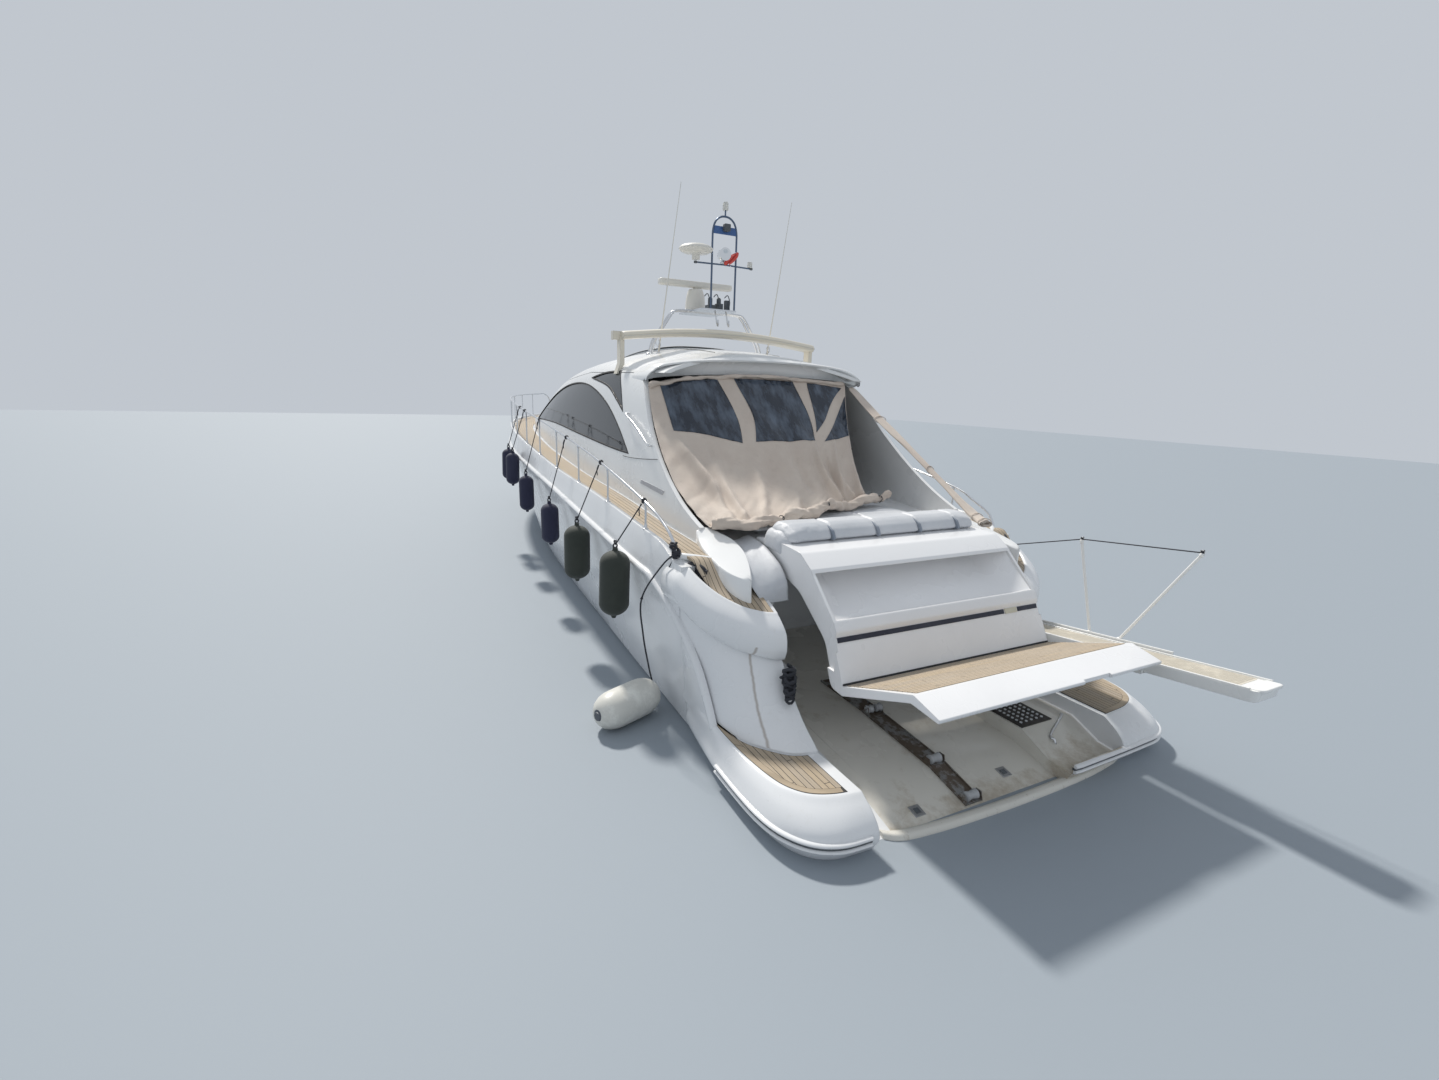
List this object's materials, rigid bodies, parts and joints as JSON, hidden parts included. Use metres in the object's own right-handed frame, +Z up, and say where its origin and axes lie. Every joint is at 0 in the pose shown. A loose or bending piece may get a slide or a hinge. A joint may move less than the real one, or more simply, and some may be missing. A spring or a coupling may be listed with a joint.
{
  "type": "motor yacht",
  "caption": "Hard-top motor yacht afloat, with an open stepped stern, a raised stern door over a tender slipway, teak side decks, a radar mast and fenders along its port side.",
  "frame": {"origin": "amidships on the centreline, at the waterline", "axes": "+X to the bow, +Y to port, +Z up"},
  "size_m": [20.0886, 5.5702, 7.4397],
  "materials": {
    "gelcoat": "gloss gelcoat on glass-reinforced plastic",
    "teak": "weathered teak laid in strips with dark caulking",
    "tinted_glass": "dark tinted glass",
    "canvas": "beige acrylic canvas",
    "silver_vinyl": "silver-grey upholstery vinyl",
    "leather": "cream leather",
    "polished_steel": "polished stainless steel",
    "bronze": "bare bronze, dulled by the sea",
    "engine_iron": "painted cast iron",
    "channel_metal": "dark grey metal",
    "tread": "pale perforated tread with white edges",
    "wheel_grip": "black moulded rim",
    "fender_rubber": "inflated dark rubber"
  },
  "bodies": {
    "boat": {"hull": "gelcoat", "rubbing_strake": "gelcoat", "superstructure": "gelcoat", "hardtop": "gelcoat", "roof_wing": "gelcoat", "radar_pedestal": "gelcoat", "antenna_dome": "gelcoat", "whip_antenna_port": "gelcoat", "whip_antenna_starboard": "gelcoat", "passerelle_case": "gelcoat", "helm_console": "gelcoat", "wet_bar": "gelcoat", "fender_7": "gelcoat", "teak_deck": "teak", "cockpit_sole": "teak", "dinette_table": "teak", "side_window_port": "tinted_glass", "side_window_starboard": "tinted_glass", "upper_window_port": "tinted_glass", "upper_window_starboard": "tinted_glass", "windscreen": "tinted_glass", "canvas_enclosure": "canvas", "canvas_flap": "canvas", "sunpad": "silver_vinyl", "helm_seat": "leather", "dinette_seat": "leather", "aft_bench": "leather", "mast_frame": "polished_steel", "signal_mast": "polished_steel", "searchlight": "polished_steel", "guard_rail_port": "polished_steel", "guard_rail_starboard": "polished_steel", "bow_roller": "polished_steel", "anchor": "polished_steel", "windlass": "polished_steel", "shaft_bracket_port": "bronze", "shaft_bracket_starboard": "bronze", "engine_port": "engine_iron", "engine_starboard": "engine_iron", "slipway_rollers": "channel_metal", "fender_1": "fender_rubber", "fender_2": "fender_rubber", "fender_3": "fender_rubber", "fender_4": "fender_rubber", "fender_5": "fender_rubber", "fender_6": "fender_rubber"},
    "stern_door": {"stern_door": "gelcoat", "bolster": "silver_vinyl"},
    "passerelle": {"passerelle_plank": "tread"},
    "sunroof": {"sunroof": "tinted_glass"},
    "foredeck_hatch": {"foredeck_hatch": "tinted_glass"},
    "radar_scanner": {"radar_scanner": "gelcoat"},
    "steering_wheel": {"steering_wheel": "wheel_grip"},
    "propeller_port": {"propeller_port": "bronze"},
    "propeller_starboard": {"propeller_starboard": "bronze"},
    "rudder_port": {"rudder_port": "bronze"},
    "rudder_starboard": {"rudder_starboard": "bronze"},
    "trim_tab_port": {"trim_tab_port": "polished_steel"},
    "trim_tab_starboard": {"trim_tab_starboard": "polished_steel"}
  },
  "joints": [
    {"name": "stern_door_lift", "type": "hinge", "parent": "boat", "child": "stern_door", "pos_m": [-6.6, 0, 1.85], "axis": [0, 1, 0], "range_deg": [-21.3, 30]},
    {"name": "passerelle_slide", "type": "slide", "parent": "boat", "child": "passerelle", "axis": [-0.9936, 0, 0.1132], "range_m": [-0.86, 0]},
    {"name": "sunroof_slide", "type": "slide", "parent": "boat", "child": "sunroof", "axis": [-0.9968, 0, 0.0799], "range_m": [0, 1]},
    {"name": "foredeck_hatch_lid", "type": "hinge", "parent": "boat", "child": "foredeck_hatch", "pos_m": [5.468, 0, 2.566], "axis": [0, -1, 0], "range_deg": [0, 80]},
    {"name": "radar_scanner_turn", "type": "hinge", "parent": "boat", "child": "radar_scanner", "pos_m": [-2.23, 0.11, 5], "axis": [0, 0, 1], "continuous": true},
    {"name": "propeller_port_spin", "type": "hinge", "parent": "boat", "child": "propeller_port", "pos_m": [-6.35, 0.78, -0.82], "axis": [0.9816, 0, 0.1908], "continuous": true},
    {"name": "propeller_starboard_spin", "type": "hinge", "parent": "boat", "child": "propeller_starboard", "pos_m": [-6.35, -0.78, -0.82], "axis": [0.9816, 0, 0.1908], "continuous": true},
    {"name": "rudder_port_steer", "type": "hinge", "parent": "boat", "child": "rudder_port", "pos_m": [-7.12, 0.8, -0.47], "axis": [0, 0, 1], "range_deg": [-35, 35]},
    {"name": "rudder_starboard_steer", "type": "hinge", "parent": "boat", "child": "rudder_starboard", "pos_m": [-7.12, -0.8, -0.47], "axis": [0, 0, 1], "range_deg": [-35, 35]},
    {"name": "steering_wheel_turn", "type": "hinge", "parent": "boat", "child": "steering_wheel", "pos_m": [0.96, -0.64, 2.23], "axis": [-0.866, 0, 0.5], "range_deg": [-350, 350]},
    {"name": "trim_tab_port_tilt", "type": "hinge", "parent": "boat", "child": "trim_tab_port", "pos_m": [-8.262, 0.975, -0.313], "axis": [0, 1, 0], "range_deg": [-18, 0]},
    {"name": "trim_tab_starboard_tilt", "type": "hinge", "parent": "boat", "child": "trim_tab_starboard", "pos_m": [-8.262, -0.975, -0.313], "axis": [0, 1, 0], "range_deg": [-18, 0]}
  ],
  "couplings": [
    {"joint": "rudder_starboard_steer", "follows": "rudder_port_steer", "ratio": 1},
    {"joint": "steering_wheel_turn", "follows": "rudder_port_steer", "ratio": 10}
  ]
}
